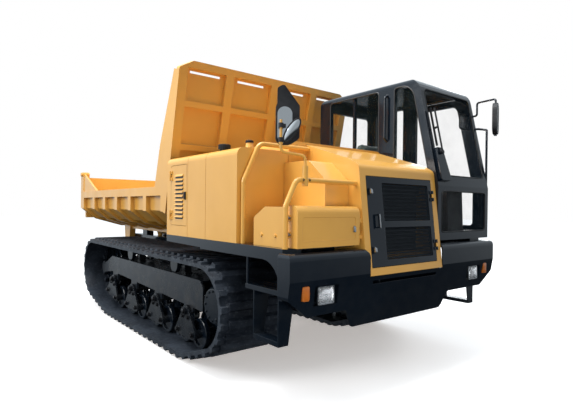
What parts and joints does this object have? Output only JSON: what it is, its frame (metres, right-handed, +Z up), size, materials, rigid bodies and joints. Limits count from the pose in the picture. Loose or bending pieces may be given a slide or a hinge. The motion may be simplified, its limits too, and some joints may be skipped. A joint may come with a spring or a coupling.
{
  "type": "tracked dump carrier",
  "caption": "Crawler dump carrier with rubber tracks on rocking bogies, a side cab, a nose hood with a grille door and a hydraulically tipped bed with a tall headboard.",
  "frame": {"origin": "middle of the machine's bounding box on the ground", "axes": "+X to the machine's left, +Y to its rear, +Z up; the front faces -Y"},
  "size_m": [3.012, 6.305, 3.288],
  "materials": {
    "yellow_paint": "semi-gloss yellow-orange paint",
    "black_paint": "semi-gloss black paint",
    "grey_paint": "dark grey paint",
    "engine_iron": "painted casting",
    "track_rubber": "moulded black rubber",
    "lamp_chrome": "chromed lamp with a clear lens",
    "rod_chrome": "hard chrome",
    "lever_steel": "plain steel with a black knob",
    "amber_lens": "amber lens",
    "cab_pane": "lightly tinted glass",
    "seat_cloth": "grey-green woven cover",
    "black_plastic": "grained black plastic"
  },
  "bodies": {
    "machine": {"chassis_frame": "black_paint", "track_frames": "grey_paint", "bogie_rockers": "grey_paint", "right_track_belt": "track_rubber", "left_track_belt": "track_rubber", "deck_platform": "black_paint", "boarding_steps": "black_paint", "front_bumper": "black_paint", "headlamps": "lamp_chrome", "turn_signals": "amber_lens", "engine_hood": "yellow_paint", "engine_block": "engine_iron", "radiator": "grey_paint", "side_housing": "yellow_paint", "filler_caps": "black_plastic", "toolbox": "yellow_paint", "handrails": "yellow_paint", "cab_frame": "black_paint", "cab_glass": "cab_pane", "seat_cushion": "seat_cloth", "seat_back": "seat_cloth", "control_console": "black_plastic"},
    "right_sprocket": {"right_sprocket": "black_paint"},
    "right_idler": {"right_idler": "black_paint"},
    "right_roller_1": {"right_roller_1": "black_paint"},
    "right_roller_2": {"right_roller_2": "black_paint"},
    "right_roller_3": {"right_roller_3": "black_paint"},
    "right_roller_4": {"right_roller_4": "black_paint"},
    "right_roller_5": {"right_roller_5": "black_paint"},
    "right_roller_6": {"right_roller_6": "black_paint"},
    "right_roller_7": {"right_roller_7": "black_paint"},
    "right_roller_8": {"right_roller_8": "black_paint"},
    "right_carrier_1": {"right_carrier_1": "black_paint"},
    "right_carrier_2": {"right_carrier_2": "black_paint"},
    "left_sprocket": {"left_sprocket": "black_paint"},
    "left_idler": {"left_idler": "black_paint"},
    "left_roller_1": {"left_roller_1": "black_paint"},
    "left_roller_2": {"left_roller_2": "black_paint"},
    "left_roller_3": {"left_roller_3": "black_paint"},
    "left_roller_4": {"left_roller_4": "black_paint"},
    "left_roller_5": {"left_roller_5": "black_paint"},
    "left_roller_6": {"left_roller_6": "black_paint"},
    "left_roller_7": {"left_roller_7": "black_paint"},
    "left_roller_8": {"left_roller_8": "black_paint"},
    "left_carrier_1": {"left_carrier_1": "black_paint"},
    "left_carrier_2": {"left_carrier_2": "black_paint"},
    "grille_door": {"grille_door": "black_paint"},
    "louver_door": {"louver_door": "yellow_paint"},
    "toolbox_cover": {"toolbox_cover": "yellow_paint"},
    "cab_door": {"cab_door": "black_paint", "door_glass": "cab_pane"},
    "wiper": {"wiper": "black_plastic"},
    "travel_lever": {"travel_lever": "lever_steel"},
    "dump_lever": {"dump_lever": "lever_steel"},
    "right_mirror": {"right_mirror": "black_plastic"},
    "left_mirror": {"left_mirror": "black_plastic"},
    "dump_bed": {"dump_bed": "yellow_paint"},
    "tailgate": {"tailgate": "yellow_paint"},
    "hoist_barrels": {"hoist_barrels": "black_paint"},
    "hoist_rods": {"hoist_rods": "rod_chrome"}
  },
  "joints": [
    {"name": "right_sprocket_spin", "type": "hinge", "parent": "machine", "child": "right_sprocket", "pos_m": [-1.106, -1.6475, 0.62], "axis": [1, 0, 0], "continuous": true},
    {"name": "right_idler_spin", "type": "hinge", "parent": "machine", "child": "right_idler", "pos_m": [-1.106, 1.8855, 0.62], "axis": [1, 0, 0], "continuous": true},
    {"name": "right_roller_1_spin", "type": "hinge", "parent": "machine", "child": "right_roller_1", "pos_m": [-1.106, -1.2465, 0.2426], "axis": [1, 0, 0], "continuous": true},
    {"name": "right_roller_2_spin", "type": "hinge", "parent": "machine", "child": "right_roller_2", "pos_m": [-1.106, -0.9025, 0.2426], "axis": [1, 0, 0], "continuous": true},
    {"name": "right_roller_3_spin", "type": "hinge", "parent": "machine", "child": "right_roller_3", "pos_m": [-1.106, -0.4275, 0.2426], "axis": [1, 0, 0], "continuous": true},
    {"name": "right_roller_4_spin", "type": "hinge", "parent": "machine", "child": "right_roller_4", "pos_m": [-1.106, -0.0835, 0.2426], "axis": [1, 0, 0], "continuous": true},
    {"name": "right_roller_5_spin", "type": "hinge", "parent": "machine", "child": "right_roller_5", "pos_m": [-1.106, 0.3915, 0.2426], "axis": [1, 0, 0], "continuous": true},
    {"name": "right_roller_6_spin", "type": "hinge", "parent": "machine", "child": "right_roller_6", "pos_m": [-1.106, 0.7355, 0.2426], "axis": [1, 0, 0], "continuous": true},
    {"name": "right_roller_7_spin", "type": "hinge", "parent": "machine", "child": "right_roller_7", "pos_m": [-1.106, 1.2105, 0.2426], "axis": [1, 0, 0], "continuous": true},
    {"name": "right_roller_8_spin", "type": "hinge", "parent": "machine", "child": "right_roller_8", "pos_m": [-1.106, 1.54729, 0.31267], "axis": [1, 0, 0], "continuous": true},
    {"name": "right_carrier_1_spin", "type": "hinge", "parent": "machine", "child": "right_carrier_1", "pos_m": [-1.106, -0.6075, 0.919], "axis": [1, 0, 0], "continuous": true},
    {"name": "right_carrier_2_spin", "type": "hinge", "parent": "machine", "child": "right_carrier_2", "pos_m": [-1.106, 0.8325, 0.919], "axis": [1, 0, 0], "continuous": true},
    {"name": "left_sprocket_spin", "type": "hinge", "parent": "machine", "child": "left_sprocket", "pos_m": [1.106, -1.6475, 0.62], "axis": [1, 0, 0], "continuous": true},
    {"name": "left_idler_spin", "type": "hinge", "parent": "machine", "child": "left_idler", "pos_m": [1.106, 1.8855, 0.62], "axis": [1, 0, 0], "continuous": true},
    {"name": "left_roller_1_spin", "type": "hinge", "parent": "machine", "child": "left_roller_1", "pos_m": [1.106, -1.2465, 0.2426], "axis": [1, 0, 0], "continuous": true},
    {"name": "left_roller_2_spin", "type": "hinge", "parent": "machine", "child": "left_roller_2", "pos_m": [1.106, -0.9025, 0.2426], "axis": [1, 0, 0], "continuous": true},
    {"name": "left_roller_3_spin", "type": "hinge", "parent": "machine", "child": "left_roller_3", "pos_m": [1.106, -0.4275, 0.2426], "axis": [1, 0, 0], "continuous": true},
    {"name": "left_roller_4_spin", "type": "hinge", "parent": "machine", "child": "left_roller_4", "pos_m": [1.106, -0.0835, 0.2426], "axis": [1, 0, 0], "continuous": true},
    {"name": "left_roller_5_spin", "type": "hinge", "parent": "machine", "child": "left_roller_5", "pos_m": [1.106, 0.3915, 0.2426], "axis": [1, 0, 0], "continuous": true},
    {"name": "left_roller_6_spin", "type": "hinge", "parent": "machine", "child": "left_roller_6", "pos_m": [1.106, 0.7355, 0.2426], "axis": [1, 0, 0], "continuous": true},
    {"name": "left_roller_7_spin", "type": "hinge", "parent": "machine", "child": "left_roller_7", "pos_m": [1.106, 1.2105, 0.2426], "axis": [1, 0, 0], "continuous": true},
    {"name": "left_roller_8_spin", "type": "hinge", "parent": "machine", "child": "left_roller_8", "pos_m": [1.106, 1.54729, 0.31267], "axis": [1, 0, 0], "continuous": true},
    {"name": "left_carrier_1_spin", "type": "hinge", "parent": "machine", "child": "left_carrier_1", "pos_m": [1.106, -0.6075, 0.919], "axis": [1, 0, 0], "continuous": true},
    {"name": "left_carrier_2_spin", "type": "hinge", "parent": "machine", "child": "left_carrier_2", "pos_m": [1.106, 0.8325, 0.919], "axis": [1, 0, 0], "continuous": true},
    {"name": "grille_hinge", "type": "hinge", "parent": "machine", "child": "grille_door", "pos_m": [0.398, -3.00529, 1.49726], "axis": [0, 0.1149, 0.9934], "range_deg": [0, 110]},
    {"name": "louver_hinge", "type": "hinge", "parent": "machine", "child": "louver_door", "pos_m": [-1.462, -0.8975, 1.725], "axis": [0, 0, -1], "range_deg": [0, 100]},
    {"name": "cover_hinge", "type": "hinge", "parent": "machine", "child": "toolbox_cover", "pos_m": [-0.678, -2.9715, 1.455], "axis": [0, 0, 1], "range_deg": [0, 95]},
    {"name": "cab_door_hinge", "type": "hinge", "parent": "machine", "child": "cab_door", "pos_m": [1.492, -1.9495, 2.1], "axis": [0, 0, 1], "range_deg": [0, 100]},
    {"name": "wiper_sweep", "type": "hinge", "parent": "machine", "child": "wiper", "pos_m": [0.588, -2.91151, 2.19165], "axis": [0, 0.9761, -0.2171], "range_deg": [0, 75]},
    {"name": "travel_lever_tilt", "type": "hinge", "parent": "machine", "child": "travel_lever", "pos_m": [0.645, -2.1875, 1.916], "axis": [1, 0, 0], "range_deg": [-20, 20]},
    {"name": "dump_lever_tilt", "type": "hinge", "parent": "machine", "child": "dump_lever", "pos_m": [1.315, -2.1875, 1.916], "axis": [1, 0, 0], "range_deg": [-15, 15]},
    {"name": "right_mirror_swivel", "type": "hinge", "parent": "machine", "child": "right_mirror", "pos_m": [-1.4, -2.7975, 2.2], "axis": [0, 0, 1], "range_deg": [-25, 25]},
    {"name": "left_mirror_swivel", "type": "hinge", "parent": "machine", "child": "left_mirror", "pos_m": [1.412, -3.09891, 2.6], "axis": [0, 0, 1], "range_deg": [-25, 25]},
    {"name": "bed_tilt", "type": "hinge", "parent": "machine", "child": "dump_bed", "pos_m": [0, 2.6625, 0.985], "axis": [-1, 0, 0], "range_deg": [0, 60]},
    {"name": "tailgate_swing", "type": "hinge", "parent": "dump_bed", "child": "tailgate", "pos_m": [0, 3.0725, 2.15], "axis": [1, 0, 0], "range_deg": [0, 75]},
    {"name": "hoist_barrel_swing", "type": "hinge", "parent": "machine", "child": "hoist_barrels", "pos_m": [0, 2.1272, 0.39048], "axis": [-1, 0, 0], "range_deg": [0, 30]},
    {"name": "hoist_rod_swing", "type": "hinge", "parent": "dump_bed", "child": "hoist_rods", "pos_m": [0, 1.87998, 1.15133], "axis": [-1, 0, 0], "range_deg": [-30, 0]}
  ],
  "couplings": [
    {"joint": "right_idler_spin", "follows": "right_sprocket_spin", "ratio": 1},
    {"joint": "right_roller_1_spin", "follows": "right_sprocket_spin", "ratio": 2.4321},
    {"joint": "right_roller_2_spin", "follows": "right_sprocket_spin", "ratio": 2.4321},
    {"joint": "right_roller_3_spin", "follows": "right_sprocket_spin", "ratio": 2.4321},
    {"joint": "right_roller_4_spin", "follows": "right_sprocket_spin", "ratio": 2.4321},
    {"joint": "right_roller_5_spin", "follows": "right_sprocket_spin", "ratio": 2.4321},
    {"joint": "right_roller_6_spin", "follows": "right_sprocket_spin", "ratio": 2.4321},
    {"joint": "right_roller_7_spin", "follows": "right_sprocket_spin", "ratio": 2.4321},
    {"joint": "right_roller_8_spin", "follows": "right_sprocket_spin", "ratio": 2.4321},
    {"joint": "right_carrier_1_spin", "follows": "right_sprocket_spin", "ratio": 4.1474},
    {"joint": "right_carrier_2_spin", "follows": "right_sprocket_spin", "ratio": 4.1474},
    {"joint": "left_idler_spin", "follows": "left_sprocket_spin", "ratio": 1},
    {"joint": "left_roller_1_spin", "follows": "left_sprocket_spin", "ratio": 2.4321},
    {"joint": "left_roller_2_spin", "follows": "left_sprocket_spin", "ratio": 2.4321},
    {"joint": "left_roller_3_spin", "follows": "left_sprocket_spin", "ratio": 2.4321},
    {"joint": "left_roller_4_spin", "follows": "left_sprocket_spin", "ratio": 2.4321},
    {"joint": "left_roller_5_spin", "follows": "left_sprocket_spin", "ratio": 2.4321},
    {"joint": "left_roller_6_spin", "follows": "left_sprocket_spin", "ratio": 2.4321},
    {"joint": "left_roller_7_spin", "follows": "left_sprocket_spin", "ratio": 2.4321},
    {"joint": "left_roller_8_spin", "follows": "left_sprocket_spin", "ratio": 2.4321},
    {"joint": "left_carrier_1_spin", "follows": "left_sprocket_spin", "ratio": 4.1474},
    {"joint": "left_carrier_2_spin", "follows": "left_sprocket_spin", "ratio": 4.1474},
    {"joint": "hoist_barrel_swing", "follows": "bed_tilt", "ratio": 0.5},
    {"joint": "hoist_rod_swing", "follows": "bed_tilt", "ratio": -0.5}
  ]
}
